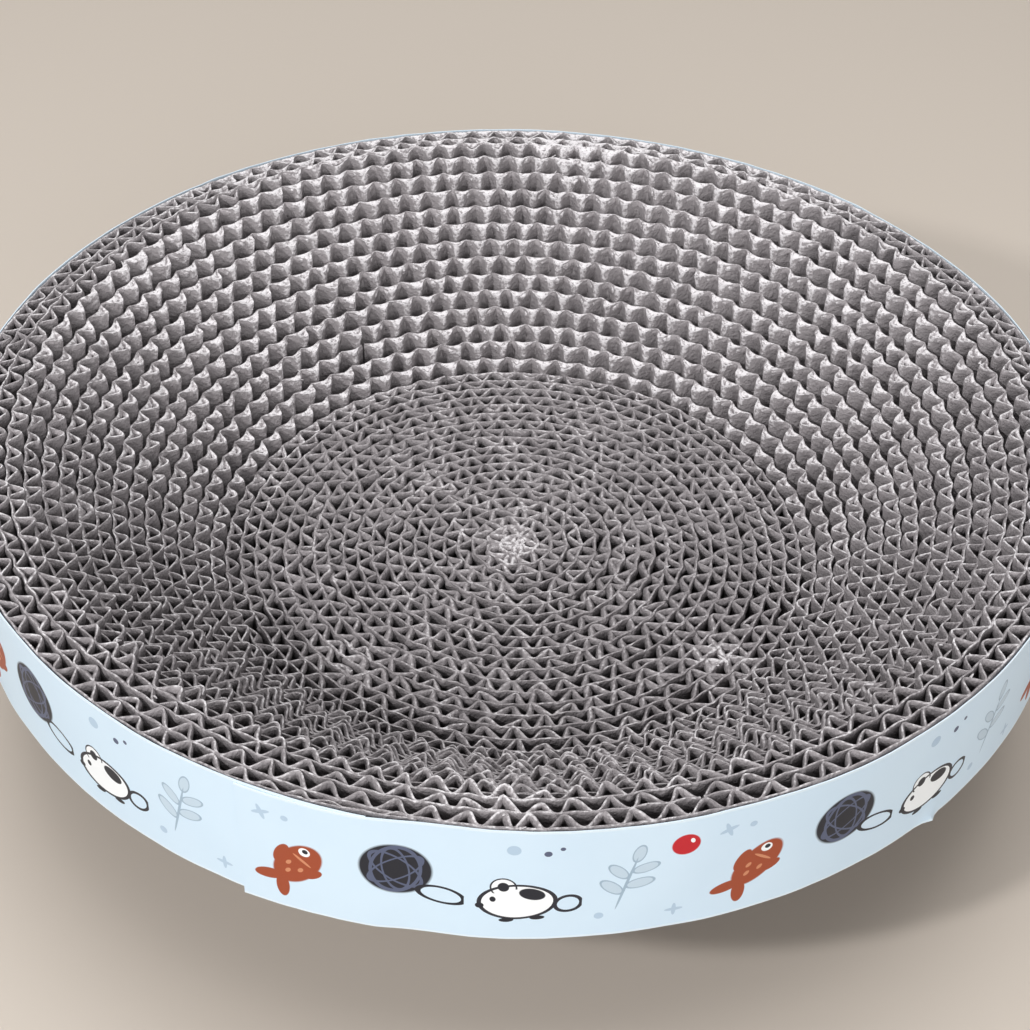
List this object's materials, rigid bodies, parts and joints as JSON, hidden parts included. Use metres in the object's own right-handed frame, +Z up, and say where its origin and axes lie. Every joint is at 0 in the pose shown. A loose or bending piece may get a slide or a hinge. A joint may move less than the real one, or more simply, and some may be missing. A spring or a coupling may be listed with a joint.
{
  "type": "cardboard cat scratcher",
  "caption": "Round bowl-shaped scratching bed wound from corrugated board strips, standing on its pushed-down floor, with a printed paper band round the level rim.",
  "frame": {"origin": "centre of the flat underside that it stands on, on the axis of the winding", "axes": "+Z up out of the bowl, +X to the right, -Y to the front; the lap of the printed band is at the front left"},
  "size_m": [0.35, 0.35, 0.1005],
  "materials": {
    "board": "matte",
    "print": "satin"
  },
  "bodies": {
    "root": {"board_strip_1": "board", "board_strip_2": "board", "board_strip_3": "board", "board_strip_4": "board", "board_strip_5": "board", "board_strip_6": "board", "board_strip_7": "board", "board_strip_8": "board", "board_strip_9": "board", "board_strip_10": "board", "printed_band": "print"}
  },
  "joints": []
}
